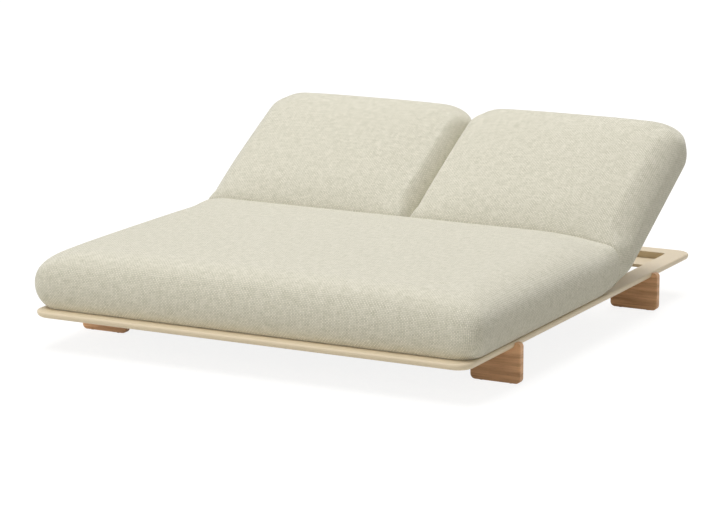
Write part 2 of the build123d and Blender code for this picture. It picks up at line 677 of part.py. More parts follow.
def seat_cushion():
    """One pad as wide as the frame, its rear end leaning away from the backrests."""
    lean = math.tan(math.radians(SEAT_FOLD_LEAN))
    rows = round_section(
        SEAT_BASE_INSET, SEAT_TOP_INSET, SEAT_BULGE_HEIGHT, SEAT_CUSHION_THICK, SEAT_CROWN,
        min(2 * SEAT_HALF_WIDTH, HINGE_Y - SEAT_FRONT) / 2
    )
    sections = []
    for height, inset in rows:
        level = FRAME_TOP + CUSHION_REST_GAP + height
        rear = HINGE_Y - SEAT_FOLD_GAP - (level - HINGE_Z) * lean
        fold_inset = inset * FOLD_ROUND_INSET / SEAT_BASE_INSET
        corner = SEAT_CORNER_RADIUS - (SEAT_CORNER_RADIUS - SEAT_BASE_CORNER_RADIUS) * min(
            1, inset / SEAT_BASE_INSET
        ) * (height < SEAT_BULGE_HEIGHT)
        outline = soft_outline(
            (-SEAT_HALF_WIDTH + inset, SEAT_FRONT + inset),
            (SEAT_HALF_WIDTH - inset, rear - fold_inset),
            corner, FOLD_CORNER_RADIUS, SIDE_DRAW_IN
        )
        sections.append(Pos(0, 0, level) * outline)
    return stacked_loft(sections)


def back_cushion():
    """The right back cushion, drawn flat from the hinge, its lower end cut to clear the seat."""
    lean = math.tan(math.radians(BACK_FOLD_LEAN))
    top_length = BACK_CUSHION_LENGTH - BACK_CUSHION_THICK * lean
    rows = round_section(
        BACK_BASE_INSET, BACK_TOP_INSET, BACK_BULGE_HEIGHT, BACK_CUSHION_THICK, BACK_CROWN,
        min(BACK_HALF_WIDTH, top_length) / 2
    )
    sections = []
    for height, inset in rows:
        level = STILE_TOP + CUSHION_REST_GAP + height
        lower_end = BACK_FOLD_GAP + level * lean
        fold_inset = inset * FOLD_ROUND_INSET / BACK_BASE_INSET
        outline = soft_outline(
            (BACK_MIDDLE_GAP / 2 + inset, lower_end + fold_inset),
            (BACK_HALF_WIDTH - inset, BACK_CUSHION_LENGTH - inset),
            FOLD_CORNER_RADIUS, BACK_HEAD_RADIUS - min(inset, BACK_BASE_INSET), SIDE_DRAW_IN
        )
        sections.append(Pos(0, 0, level) * outline)
    return stacked_loft(sections)


# Whole part

def all_parts():
    """Every node by name."""
    parts = {}
    parts.update(frame_rails())
    parts.update(seat_deck())
    parts.update(fixed_hinge_parts())
    parts.update(racks_and_bars())
    parts.update(legs())
    parts["seat_cushion"] = seat_cushion()
    back_pieces = dict(back_frame())
    back_pieces["prop_pins"] = prop_pins()
    back_pieces["back_cushion"] = back_cushion()
    for name, piece in back_pieces.items():
        placed = raised(piece)
        parts[f"{name}_right"] = placed
        parts[f"{name}_left"] = left_of(placed)
    stay = propped(prop_stay())
    parts["prop_stay_right"] = stay
    parts["prop_stay_left"] = left_of(stay)
    return parts


os.makedirs("parts", exist_ok=True)
for node, shape in all_parts().items():
    export_step(shape, f"parts/{node}.step")
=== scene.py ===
"""Double chaise lounger: finishes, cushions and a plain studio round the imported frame."""

import json
import math
from typing import NamedTuple

import bmesh
import bpy
import numpy as np
from mathutils import Matrix, Vector


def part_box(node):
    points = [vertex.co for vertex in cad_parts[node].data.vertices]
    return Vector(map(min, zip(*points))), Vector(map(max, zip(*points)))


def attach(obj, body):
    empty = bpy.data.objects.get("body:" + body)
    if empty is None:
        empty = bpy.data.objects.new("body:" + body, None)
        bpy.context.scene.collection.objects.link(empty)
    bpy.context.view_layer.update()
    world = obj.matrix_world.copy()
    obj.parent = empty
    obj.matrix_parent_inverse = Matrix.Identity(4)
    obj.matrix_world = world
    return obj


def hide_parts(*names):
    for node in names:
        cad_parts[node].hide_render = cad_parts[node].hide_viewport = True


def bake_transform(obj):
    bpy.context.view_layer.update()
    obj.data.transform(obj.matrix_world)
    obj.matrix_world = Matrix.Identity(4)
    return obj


bl_info = {
    "name": "Double chaise lounger",
    "version": (1, 0, 0),
    "blender": (4, 5, 0),
    "location": "View3D > Sidebar > Lounger",
    "description": "Dresses the lounger's frame, sews its cushions and sets up a plain studio",
    "category": "Object",
}

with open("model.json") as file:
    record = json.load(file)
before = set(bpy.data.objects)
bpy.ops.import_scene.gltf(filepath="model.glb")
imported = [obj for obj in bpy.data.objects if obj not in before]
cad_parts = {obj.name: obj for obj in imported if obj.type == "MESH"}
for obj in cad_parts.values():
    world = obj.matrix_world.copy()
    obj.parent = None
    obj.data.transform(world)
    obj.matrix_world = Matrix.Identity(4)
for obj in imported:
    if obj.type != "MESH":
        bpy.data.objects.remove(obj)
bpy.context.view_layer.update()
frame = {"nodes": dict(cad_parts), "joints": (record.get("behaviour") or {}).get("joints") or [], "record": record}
NODES = frame["nodes"]

# Places that the pads are made to: a point on the hinge line, the deck's top and the frame's front
HINGE = Vector(frame["joints"][0]["pos_m"])
DECK_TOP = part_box("right_rail")[1].z
FRAME_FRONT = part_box("front_rail")[0].y

# Directions, as in the unit cube that each pad is shaped from
SIDES = {"right": 1, "left": -1}
ACROSS, ALONG, UP = 0, 1, 2

# Photograph's frame, in pixels, and the camera that was fitted to it
PHOTO_WIDTH = 710
PHOTO_CENTRE_X = PHOTO_WIDTH / 2
VIEW_CENTRE_X = 362.5
FOCAL_PIXELS = 2937.25
SENSOR_WIDTH = 36.0
CAMERA_AZIMUTH = math.radians(27.60)
CAMERA_ELEVATION = math.radians(12.14)
CAMERA_TARGET = Vector((-0.0456, -0.0238, 0.2438))
CAMERA_DISTANCE = 10.742

# Studio: each lamp's place, size and power, and the tones of floor and surroundings. The camera
# and reflections see a whiter floor than the one that throws light back at the lounger.
LAMPS = {
    "key": ((-1.15, -4.2, 11.5), 6.0, 668.0),
    "back": ((-0.5, 7.0, 9.5), 5.0, 712.0),
    "fill": ((-4.5, -7.5, 3.2), 4.0, 130.0),
}
LAMP_COLOUR = (1.0, 0.99, 0.97)
LAMP_AIM = Vector((0, 0, 0.2))
WHITE = (1.0, 1.0, 1.0, 1.0)
FLOOR_HALF_SIZE = 60.0
FLOOR_TONE = (0.70, 0.69, 0.65)
FLOOR_TONE_SEEN = (0.22, 0.22, 0.22)
FLOOR_GLOW_SEEN = 0.86
SURROUNDINGS_COLOUR = (1.0, 0.98, 0.92, 1.0)
SURROUNDINGS_STRENGTH = 0.295

# Finish of each kind of material in the frame
FINISHES = {
    "cream_metal": "cream_powder_coat",
    "leg_wood": "oiled_hardwood",
    "steel_hardware": "plain_stainless",
    "nylon": "moulded_nylon",
    "cushion_fabric": "sage_ivory_cloth",
}

# Fold: the seat pad and the back pads meet on a plane through the hinge line that leans forward
# as it rises. A height over the hinge line there, times the scale, is that point's height square
# to the backrest.
REST_ANGLE = math.radians(29.85)
CREASE_LEAN = 0.115
CREASE_GAP = 0.0002
BELOW_DECK = DECK_TOP - HINGE.z
CREASE_ANGLE = math.atan(CREASE_LEAN)
CREASE_SLOPE_IN_BACK = math.tan(REST_ANGLE - CREASE_ANGLE)
FOLD_SCALE = math.cos(REST_ANGLE - CREASE_ANGLE) / math.cos(CREASE_ANGLE)
FOLD_DIP = 0.006

# Upper edge at the fold: how far it falls at each outer corner and over what width, and how far
# from the fold this fades out
CORNER_FALL = {SIDES["right"]: (0.040, 0.33), SIDES["left"]: (0.022, 0.125)}
CORNER_FALL_LENGTH = 0.30

# Lower edge at the fold: how far from the fold it is eased up, the strip along the side that goes
# with it, and the room that the whole edge leaves for the backrests' stiles
EASED_LENGTH = 0.15
EASED_STRIP = 0.14
EASED_STRIP_BLEND = 0.10
STILE_ROOM = 0.0045
STILE_ROOM_SLOPE = 0.3

# Back pad's face at its foot: how far it turns in, and over what length
FOOT_TURN_IN = 0.024
FOOT_LENGTH = 0.06

# Shares of half a pad's length over which its section turns into the fold's
SEAT_FOLD_SHARE = 0.42
BACK_FOLD_SHARE = 0.28

# Share of a side's grid below its fullest line, and share of an inset that the inner sides take
LOWER_SHARE = 0.42
INNER_SHARE = 0.6

# Corners' radii in plan: the seat pad's at the front, which grow with the inset, the back pads' at
# the top, and those of all three at the fold
SEAT_CORNER = 0.0657
SEAT_CORNER_GROWTH = 0.25
BACK_CORNER = 0.103
FOLD_CORNER = 0.0005

# Cuts of the pads' grids across, along and up
SEAT_CUTS = (107, 73, 15)
BACK_CUTS = (55, 55, 15)

# How far the stuffing may move the cover at the sides and in the middle of the face, and the strip
# of the unit cube's rim where one turns into the other
SIDE_FREEDOM = 0.001
SEAT_FREEDOM = 0.006
BACK_FREEDOM = 0.009
FREEDOM_STRIP = 0.5

# By what share the cover is cut too large, and the frames in which the stuffing fills it
COVER_GROWTH = 0.006
STUFFING_FRAMES = 20

# A point of the unit cube past this lies on its rim, and a length under this is none
ON_EDGE = 1 - 1e-6
TINY = 1e-9


class LoungerSizes(bpy.types.PropertyGroup):
    """Sizes of the cushions, and the scale of their cloth"""

    seat_half_width: bpy.props.FloatProperty(
        name="Seat half width", description="Middle of the seat pad to its fullest side",
        default=0.871, unit="LENGTH",
    )
    seat_front_setback: bpy.props.FloatProperty(
        name="Seat setback", description="Seat pad's fullest front, behind the frame's front edge",
        default=0.0178, unit="LENGTH",
    )
    seat_thickness: bpy.props.FloatProperty(
        name="Seat thickness", description="Seat pad's height at its shoulders",
        default=0.2055, unit="LENGTH",
    )
    seat_crown: bpy.props.FloatProperty(
        name="Seat crown", description="How far the seat pad's middle stands above its shoulders",
        default=0.005, unit="LENGTH",
    )
    seat_edge_rise: bpy.props.FloatProperty(
        name="Seat edge rise",
        description="How far the middle of each side stands above the corners",
        default=0.0077, unit="LENGTH",
    )
    back_half_width: bpy.props.FloatProperty(
        name="Back half width", description="Middle of the lounger to the back pad's fullest side",
        default=0.882, unit="LENGTH",
    )
    back_length: bpy.props.FloatProperty(
        name="Back length", description="Hinge to the back pad's fullest upper end",
        default=0.813, unit="LENGTH",
    )
    back_thickness: bpy.props.FloatProperty(
        name="Back thickness", description="Back pad's height above its frame, at its shoulders",
        default=0.1806, unit="LENGTH",
    )
    back_crown: bpy.props.FloatProperty(
        name="Back crown", description="How far the back pad's middle stands above its shoulders",
        default=0.015, unit="LENGTH",
    )
    back_edge_rise: bpy.props.FloatProperty(
        name="Back edge rise",
        description="How far the middle of each side stands above the corners",
        default=0.0126, unit="LENGTH",
    )
    middle_gap: bpy.props.FloatProperty(
        name="Middle gap", description="Space between the two back pads",
        default=0.0016, unit="LENGTH",
    )
    yarn_pitch: bpy.props.FloatProperty(
        name="Yarn pitch", description="Distance from one yarn of the cloth to the next",
        default=0.0056, unit="LENGTH",
    )


class LoungerColours(bpy.types.PropertyGroup):
    """Colours of the finishes, before light"""

    cream: bpy.props.FloatVectorProperty(
        name="Cream coat", description="Powder coat on the frame", subtype="COLOR",
        size=3, min=0, max=1, default=(0.82, 0.70, 0.515),
    )
    yarn_light: bpy.props.FloatVectorProperty(
        name="Light yarn", description="Paler yarn of the cushions' cloth", subtype="COLOR",
        size=3, min=0, max=1, default=(0.83, 0.80, 0.695),
    )
    yarn_sage: bpy.props.FloatVectorProperty(
        name="Sage yarn", description="Greyer yarn of the cushions' cloth", subtype="COLOR",
        size=3, min=0, max=1, default=(0.55, 0.54, 0.43),
    )
    wood_light: bpy.props.FloatVectorProperty(
        name="Light wood", description="Pale bands of the boards", subtype="COLOR",
        size=3, min=0, max=1, default=(0.98, 0.60, 0.34),
    )
    wood_dark: bpy.props.FloatVectorProperty(
        name="Dark wood", description="Dark bands of the boards", subtype="COLOR",
        size=3, min=0, max=1, default=(0.52, 0.27, 0.14),
    )
    steel: bpy.props.FloatVectorProperty(
        name="Steel", description="Pins and screws", subtype="COLOR",
        size=3, min=0, max=1, default=(0.60, 0.60, 0.58),
    )
    nylon: bpy.props.FloatVectorProperty(
        name="Nylon", description="Glides and bushes", subtype="COLOR",
        size=3, min=0, max=1, default=(0.035, 0.035, 0.035),
    )


def sizes():
    """The scene's own sizes of the cushions."""
    return bpy.context.scene.lounger_sizes


def colours():
    """The scene's own colours."""
    return bpy.context.scene.lounger_colours


# Shader helpers


def feed(tree, socket, value):
    """Link a socket to an output or to a node's first output, or set its plain value."""
    if isinstance(value, bpy.types.Node):
        value = value.outputs[0]
    if isinstance(value, bpy.types.NodeSocket):
        tree.links.new(value, socket)
    else:
        socket.default_value = value


def maths(tree, operation, *values, clamp=False):
    """One step of arithmetic."""
    node = tree.nodes.new("ShaderNodeMath")
    node.operation = operation
    node.use_clamp = clamp
    for socket, value in zip(node.inputs, values):
        feed(tree, socket, value)
    return node.outputs[0]


def mix_colour(tree, factor, first, second, blend="MIX"):
    """The first colour at factor 0, blended with the second one at 1."""
    node = tree.nodes.new("ShaderNodeMix")
    node.data_type = "RGBA"
    node.blend_type = blend
    feed(tree, node.inputs["Factor"], factor)
    first_colour, second_colour = (i for i in node.inputs if i.type == "RGBA")
    feed(tree, first_colour, first)
    feed(tree, second_colour, second)
    return next(o for o in node.outputs if o.type == "RGBA")


def map_range(tree, value, coming, going=(0.0, 1.0)):
    """The value's range brought to another one, and held within it."""
    node = tree.nodes.new("ShaderNodeMapRange")
    names = ("Value", "From Min", "From Max", "To Min", "To Max")
    for name, number in zip(names, (value, *coming, *going)):
        feed(tree, node.inputs[name], number)
    return node.outputs[0]


def noise(tree, vector, scale, detail=2.0, roughness=0.5, distortion=0.0):
    """A cloudy value about one half."""
    node = tree.nodes.new("ShaderNodeTexNoise")
    feed(tree, node.inputs["Vector"], vector)
    node.inputs["Scale"].default_value = scale
    node.inputs["Detail"].default_value = detail
    node.inputs["Roughness"].default_value = roughness
    node.inputs["Distortion"].default_value = distortion
    return node.outputs["Fac"]


def scaled(tree, vector, scale):
    """The vector, stretched along its axes."""
    node = tree.nodes.new("ShaderNodeVectorMath")
    node.operation = "MULTIPLY"
    feed(tree, node.inputs[0], vector)
    node.inputs[1].default_value = scale
    return node.outputs[0]


def new_group(name, inputs, outputs):
    """A node group; its inputs have a name, a kind and a default, its outputs a name and a kind."""
    tree = bpy.data.node_groups.new(name, "ShaderNodeTree")
    for label, (kind, default) in inputs.items():
        socket = tree.interface.new_socket(label, in_out="INPUT", socket_type=kind)
        if default is not None:
            socket.default_value = default
    for label, kind in outputs.items():
        tree.interface.new_socket(label, in_out="OUTPUT", socket_type=kind)
    return tree, tree.nodes.new("NodeGroupInput"), tree.nodes.new("NodeGroupOutput")


def place_group(tree, group, **values):
    """A group node, with its inputs fed by name."""
    node = tree.nodes.new("ShaderNodeGroup")
    node.node_tree = group
    for label, value in values.items():
        feed(tree, node.inputs[label], value)
    return node


def new_material(name):
    """A material with its Principled shader."""
    material = bpy.data.materials.new(name)
    material.use_nodes = True
    return material, material.node_tree, material.node_tree.nodes["Principled BSDF"]


def bump(tree, height, strength, distance):
    """The normal of a fine relief."""
    node = tree.nodes.new("ShaderNodeBump")
    node.inputs["Strength"].default_value = strength
    node.inputs["Distance"].default_value = distance
    feed(tree, node.inputs["Height"], height)
    return node.outputs["Normal"]


def where_seen(tree):
    """1 on rays from the camera, from gloss and through glass, and 0 on those that carry light."""
    path = tree.nodes.new("ShaderNodeLightPath")
    seen = maths(tree, "MAXIMUM", path.outputs["Is Camera Ray"], path.outputs["Is Glossy Ray"])
    return maths(tree, "MAXIMUM", seen, path.outputs["Is Transmission Ray"])


def rgba(colour, share=1.0):
    """A colour with its alpha, made darker or paler by a share."""
    return (colour[0] * share, colour[1] * share, colour[2] * share, 1.0)


# Shader groups


def weave_group():
    """Plain weave from two coordinates in yarns: height, which yarn is on top, and slubs."""
    tree, start, end = new_group(
        "Plain weave",
        {"U": ("NodeSocketFloat", 0.0), "V": ("NodeSocketFloat", 0.0)},
        {"Height": "NodeSocketFloat", "Weft": "NodeSocketFloat", "Slub": "NodeSocketFloat"},
    )
    warp_wave, weft_wave = (
        maths(tree, "SINE", maths(tree, "MULTIPLY", start.outputs[label], math.pi))
        for label in "UV"
    )
    yarns = []
    for own, other, side in ((warp_wave, weft_wave, 0.5), (weft_wave, warp_wave, -0.5)):
        barrel = maths(tree, "POWER", maths(tree, "ABSOLUTE", own), 0.6)
        crossing = maths(tree, "MULTIPLY", other, side)
        over = maths(tree, "MULTIPLY", maths(tree, "SIGN", own), crossing)
        yarns.append(maths(tree, "MULTIPLY", barrel, maths(tree, "ADD", over, 0.5)))
    height = maths(tree, "MAXIMUM", *yarns)
    weft = maths(tree, "GREATER_THAN", yarns[1], yarns[0])
    pair = tree.nodes.new("ShaderNodeCombineXYZ")
    feed(tree, pair.inputs["X"], start.outputs["U"])
    feed(tree, pair.inputs["Y"], start.outputs["V"])
    warp_streaks, weft_streaks = (
        noise(tree, scaled(tree, pair, stretch), 0.55)
        for stretch in ((1.0, 0.3, 1.0), (0.3, 1.0, 1.0))
    )
    slub = maths(
        tree, "ADD",
        maths(tree, "MULTIPLY", weft_streaks, weft),
        maths(tree, "MULTIPLY", warp_streaks, maths(tree, "SUBTRACT", 1.0, weft)),
    )
    for label, value in (("Height", height), ("Weft", weft), ("Slub", slub)):
        feed(tree, end.inputs[label], value)
    return tree


def cloth_group(weave):
    """The weave laid on from three sides by the pad's own coordinates and directions."""
    tree, start, end = new_group(
        "Wrapped cloth",
        {"Place": ("NodeSocketVector", None), "Facing": ("NodeSocketVector", None),
         "Pitch": ("NodeSocketFloat", 0.004)},
        {"Height": "NodeSocketFloat", "Weft": "NodeSocketFloat", "Slub": "NodeSocketFloat"},
    )
    place = tree.nodes.new("ShaderNodeSeparateXYZ")
    feed(tree, place.inputs[0], start.outputs["Place"])
    axes = [maths(tree, "DIVIDE", place.outputs[k], start.outputs["Pitch"]) for k in range(3)]
    facing = tree.nodes.new("ShaderNodeSeparateXYZ")
    feed(tree, facing.inputs[0], start.outputs["Facing"])
    weights = [
        maths(tree, "POWER", maths(tree, "ABSOLUTE", facing.outputs[k]), 8.0) for k in range(3)
    ]
    whole = maths(tree, "ADD", maths(tree, "ADD", weights[0], weights[1]), weights[2])
    sums = {"Height": None, "Weft": None, "Slub": None}
    for across, (u, v) in enumerate(((1, 2), (0, 2), (0, 1))):
        laid = place_group(tree, weave, U=axes[u], V=axes[v])
        weight = maths(tree, "DIVIDE", weights[across], whole)
        for label in sums:
            part = maths(tree, "MULTIPLY", laid.outputs[label], weight)
            sums[label] = part if sums[label] is None else maths(tree, "ADD", sums[label], part)
    for label, value in sums.items():
        feed(tree, end.inputs[label], value)
    return tree


def coat_group():
    """Orange peel and faint cloudiness of a sprayed and baked coat."""
    tree, start, end = new_group(
        "Baked coat",
        {"Place": ("NodeSocketVector", None)},
        {"Peel": "NodeSocketFloat", "Cloud": "NodeSocketFloat"},
    )
    fine = noise(tree, start.outputs[0], 900.0, detail=1.0)
    broad = noise(tree, start.outputs[0], 260.0, detail=1.0)
    feed(tree, end.inputs["Peel"], maths(tree, "ADD", fine, broad))
    feed(tree, end.inputs["Cloud"], noise(tree, start.outputs[0], 3.0, detail=3.0))
    return tree


def grain_group():
    """Level grain of a sawn board: bands, figure and pores, along the first axis."""
    tree, start, end = new_group(
        "Board grain",
        {"Place": ("NodeSocketVector", None)},
        {"Bands": "NodeSocketFloat", "Figure": "NodeSocketFloat", "Pores": "NodeSocketFloat"},
    )
    place = start.outputs[0]
    drift = noise(tree, scaled(tree, place, (2.2, 3.0, 5.0)), 3.0, detail=3.0)
    split = tree.nodes.new("ShaderNodeSeparateXYZ")
    feed(tree, split.inputs[0], place)
    level = maths(tree, "ADD", split.outputs[2], maths(tree, "MULTIPLY", drift, 0.05))
    level = maths(tree, "ADD", level, maths(tree, "MULTIPLY", split.outputs[1], 0.25))
    rings = maths(tree, "SINE", maths(tree, "MULTIPLY", level, 210.0))
    streaks = noise(tree, scaled(tree, place, (6.0, 60.0, 190.0)), 1.0, detail=4.0, roughness=0.6)
    bands = maths(tree, "ADD", maths(tree, "MULTIPLY", rings, 0.10), streaks)
    figure = noise(tree, scaled(tree, place, (6.0, 12.0, 34.0)), 1.0, distortion=0.3)
    pores = noise(tree, scaled(tree, place, (60.0, 1500.0, 1500.0)), 1.0)
    feed(tree, end.inputs["Bands"], bands)
    feed(tree, end.inputs["Figure"], figure)
    feed(tree, end.inputs["Pores"], map_range(tree, pores, (0.30, 0.42)))
    return tree


def object_place(tree):
    """The surface's place on its own piece."""
    return tree.nodes.new("ShaderNodeTexCoord").outputs["Object"]


def cloth_material(cloth):
    """Ivory and sage yarns in a plain weave, a little cloudy, with a soft nap, and painted shade in the gaps
    between the yarns.
    """
    material, tree, shader = new_material("sage_ivory_cloth")
    place = tree.nodes.new("ShaderNodeAttribute")
    place.attribute_name = "pad_place"
    facing = tree.nodes.new("ShaderNodeAttribute")
    facing.attribute_name = "pad_facing"
    laid = place_group(
        tree, cloth, Place=place.outputs["Vector"], Facing=facing.outputs["Vector"],
        Pitch=sizes().yarn_pitch,
    )
    cloud = noise(tree, place.outputs["Vector"], 60.0, detail=3.0, roughness=0.6)
    share = maths(tree, "MULTIPLY", laid.outputs["Weft"], 0.35)
    slubs = map_range(tree, laid.outputs["Slub"], (0.36, 0.64), (0.0, 0.48))
    share = maths(tree, "ADD", share, slubs)
    clouds = map_range(tree, cloud, (0.3, 0.7), (-0.12, 0.12))
    share = maths(tree, "ADD", share, clouds, clamp=True)
    colour = mix_colour(tree, share, rgba(colours().yarn_light), rgba(colours().yarn_sage))
    # Painted shade: the colour is darkened where the weave lies low, in the gaps between the yarns, standing in
    # for the shade that falls there
    painted_gap_shade = map_range(tree, laid.outputs["Height"], (0.0, 0.7), (0.58, 1.08))
    painted_gap_grey = tree.nodes.new("ShaderNodeCombineColor")
    for socket in painted_gap_grey.inputs:
        feed(tree, socket, painted_gap_shade)
    colour_with_painted_gap_shade = mix_colour(tree, 1.0, colour, painted_gap_grey, "MULTIPLY")
    feed(tree, shader.inputs["Base Color"], colour_with_painted_gap_shade)
    shader.inputs["Roughness"].default_value = 0.92
    shader.inputs["Specular IOR Level"].default_value = 0.2
    shader.inputs["Sheen Weight"].default_value = 0.50
    shader.inputs["Sheen Roughness"].default_value = 0.4
    thick_yarns = maths(tree, "MULTIPLY", laid.outputs["Slub"], 0.5)
    relief = maths(tree, "ADD", laid.outputs["Height"], thick_yarns)
    feed(tree, shader.inputs["Normal"], bump(tree, relief, 0.6, 0.0016))
    return material


def coat_material(coat):
    """Matt warm cream powder coat."""
    material, tree, shader = new_material("cream_powder_coat")
    laid = place_group(tree, coat, Place=object_place(tree))
    tone = map_range(tree, laid.outputs["Cloud"], (0.3, 0.7))
    colour = mix_colour(tree, tone, rgba(colours().cream, 0.985), rgba(colours().cream, 1.015))
    feed(tree, shader.inputs["Base Color"], colour)
    rough = map_range(tree, laid.outputs["Cloud"], (0.3, 0.7), (0.42, 0.50))
    feed(tree, shader.inputs["Roughness"], rough)
    shader.inputs["Specular IOR Level"].default_value = 0.45
    feed(tree, shader.inputs["Normal"], bump(tree, laid.outputs["Peel"], 0.12, 0.0002))
    return material


def wood_material(grain):
    """Oiled reddish-brown hardwood with level grain."""
    material, tree, shader = new_material("oiled_hardwood")
    laid = place_group(tree, grain, Place=object_place(tree))
    light, dark = colours().wood_light, colours().wood_dark
    bands = map_range(tree, laid.outputs["Bands"], (0.25, 0.80))
    colour = mix_colour(tree, bands, rgba(dark), rgba(light))
    figure = map_range(tree, laid.outputs["Figure"], (0.35, 0.70), (0.0, 0.45))
    colour = mix_colour(tree, figure, colour, rgba(light, 1.12))
    pores = map_range(tree, laid.outputs["Pores"], (0.0, 1.0), (0.35, 0.0))
    colour = mix_colour(tree, pores, colour, rgba(dark, 0.45))
    feed(tree, shader.inputs["Base Color"], colour)
    rough = map_range(tree, laid.outputs["Bands"], (0.2, 0.8), (0.58, 0.46))
    feed(tree, shader.inputs["Roughness"], rough)
    shader.inputs["Specular IOR Level"].default_value = 0.4
    relief = maths(tree, "ADD", laid.outputs["Pores"], laid.outputs["Bands"])
    feed(tree, shader.inputs["Normal"], bump(tree, relief, 0.25, 0.0003))
    return material


def steel_material():
    """Plain stainless, faintly brushed."""
    material, tree, shader = new_material("plain_stainless")
    shader.inputs["Metallic"].default_value = 1.0
    streak = noise(tree, scaled(tree, object_place(tree), (60.0, 1400.0, 1400.0)), 1.0)
    colour = mix_colour(tree, streak, rgba(colours().steel, 0.92), rgba(colours().steel, 1.06))
    feed(tree, shader.inputs["Base Color"], colour)
    feed(tree, shader.inputs["Roughness"], map_range(tree, streak, (0.3, 0.7), (0.26, 0.40)))
    return material


def nylon_material():
    """Moulded black nylon."""
    material, tree, shader = new_material("moulded_nylon")
    speck = noise(tree, object_place(tree), 700.0)
    colour = mix_colour(tree, speck, rgba(colours().nylon, 0.8), rgba(colours().nylon, 1.3))
    feed(tree, shader.inputs["Base Color"], colour)
    shader.inputs["Roughness"].default_value = 0.6
    feed(tree, shader.inputs["Normal"], bump(tree, speck, 0.2, 0.0002))
    return material


def dress(node, material):
    """Give a CAD node its finish."""
    slots = NODES[node].material_slots
    for slot in slots:
        slot.material = material
    if not slots:
        NODES[node].data.materials.append(material)


# Pads


class Section(NamedTuple):
    """A pad's cross-section, in metres.

    Its side is fullest at the height bulge, and thickness is its height at the shoulders. The
    insets say how far the base and the top lie inside the fullest line, the powers how square the
    rounding is below and above it, and lower_turn how much of a quarter turn the lower rounding
    makes. edge_rise is how far the middle of each side stands above the corners, side_inset draws
    the whole section in, and lift is how far the lower edge is eased up at the fold.
    """

    bulge: float
    thickness: float
    base_inset: float
    top_inset: float
    lower_power: float
    upper_power: float
    lower_turn: float
    edge_rise: float = 0.0
    side_inset: float = 0.0
    lift: float = 0.0

    def turned_to(self, other, share):
        """This section where the share is 0, the other one where it is 1."""
        return Section(*(mine + (theirs - mine) * share for mine, theirs in zip(self, other)))


def seat_section():
    """The seat pad's section away from the fold."""
    return Section(
        bulge=0.0892, thickness=sizes().seat_thickness, base_inset=0.032, top_inset=0.180,
        lower_power=2.0, upper_power=2.435, lower_turn=0.62, edge_rise=sizes().seat_edge_rise,
    )


def back_section():
    """The back pads' section away from the fold."""
    return Section(
        bulge=0.0978, thickness=sizes().back_thickness, base_inset=0.0364, top_inset=0.0838,
        lower_power=2.96, upper_power=1.51, lower_turn=1.0, edge_rise=sizes().back_edge_rise,
    )


def seat_fold():
    """The seat pad's section at the fold, where the pads press on each other."""
    return seat_section()._replace(
        thickness=sizes().seat_thickness - FOLD_DIP, top_inset=0.045, edge_rise=0.0, lift=0.017,
    )


def back_fold():
    """The back pads' section at the fold, matched to the seat pad's."""
    seat = seat_fold()
    return seat._replace(
        bulge=in_back(seat.bulge), thickness=in_back(seat.thickness), lift=in_back(seat.lift),
        side_inset=sizes().back_half_width - sizes().seat_half_width,
    )


def smooth(share):
    """A soft step from 0 to 1."""
    share = np.clip(share, 0, 1)
    return share * share * (3 - 2 * share)


def sunk(angle, section):
    """How far in a point of the lower rounding lies, before it is scaled to the base inset."""
    return 1 - np.maximum(np.cos(angle), 0) ** (2 / section.lower_power)


def side_profile(section, share):
    """Height and inset up a pad's side, for shares from the base (0) to the shoulder (1)."""
    full = math.pi / 2 * section.lower_turn
    low = np.clip(1 - share / LOWER_SHARE, 0, 1) * full
    high = np.clip((share - LOWER_SHARE) / (1 - LOWER_SHARE), 0, 1) * math.pi / 2
    drop = (np.sin(low) / np.sin(full)) ** (2 / section.lower_power)
    pull = sunk(low, section) / sunk(full, section)
    lift = np.sin(high) ** (2 / section.upper_power)
    draw = 1 - np.maximum(np.cos(high), 0) ** (2 / section.upper_power)
    height = section.bulge * (1 - drop) + (section.thickness - section.bulge) * lift
    return height, section.base_inset * pull + section.top_inset * draw


def cube_shell(cuts):
    """A cube's faces cut into a fine grid, so many times across, along and up."""
    mesh = bmesh.new()
    bmesh.ops.create_cube(mesh, size=2.0)
    for axis, count in enumerate(cuts):
        edges = [e for e in mesh.edges if abs(e.verts[0].co[axis] - e.verts[1].co[axis]) > 1.0]
        bmesh.ops.subdivide_edges(mesh, edges=edges, cuts=count, use_grid_fill=True)
    return mesh


def shaped(unit, own, fold, fold_side, fold_share, crown, outline):
    """A pad's points, from those of the unit cube. Near the fold its section turns into another."""
    a, b, c = unit.T
    near = smooth((fold_side * b - 1 + fold_share) / fold_share)
    section = own.turned_to(fold, near)
    on_side = np.maximum(np.abs(a), np.abs(b)) > ON_EDGE
    share = np.where(on_side, (c + 1) / 2, np.where(c > 0, 1.0, 0.0))
    height, inset = side_profile(section, share)
    level = np.clip(height / section.thickness, 0, 1)
    dome = (1 - a ** 2) * (1 - b ** 2)
    height = height + np.where((~on_side) & (c > 0), crown * dome, 0.0)
    from_sides, from_ends = 1 - np.abs(a) ** 3, 1 - np.abs(b) ** 3
    from_corners = from_sides + from_ends - from_sides * from_ends
    height = height + section.edge_rise * from_corners * level ** 2
    x, y = laid_within(outline, a, b, height, inset + section.side_inset)
    return np.stack([x, y, height], 1)


def laid_within(outline, a, b, height, inset):
    """Places inside an outline, evenly drawn in from its four sides."""
    one = np.ones_like(a)
    s, t = (a + 1) / 2, (b + 1) / 2
    edges = (
        (1 - s, outline(-one, b, height, inset)), (s, outline(one, b, height, inset)),
        (1 - t, outline(a, -one, height, inset)), (t, outline(a, one, height, inset)),
    )
    corners = (
        ((1 - s) * (1 - t), outline(-one, -one, height, inset)),
        (s * (1 - t), outline(one, -one, height, inset)),
        ((1 - s) * t, outline(-one, one, height, inset)), (s * t, outline(one, one, height, inset)),
    )
    return [
        sum(weight * place[k] for weight, place in edges)
        - sum(weight * place[k] for weight, place in corners)
        for k in (0, 1)
    ]


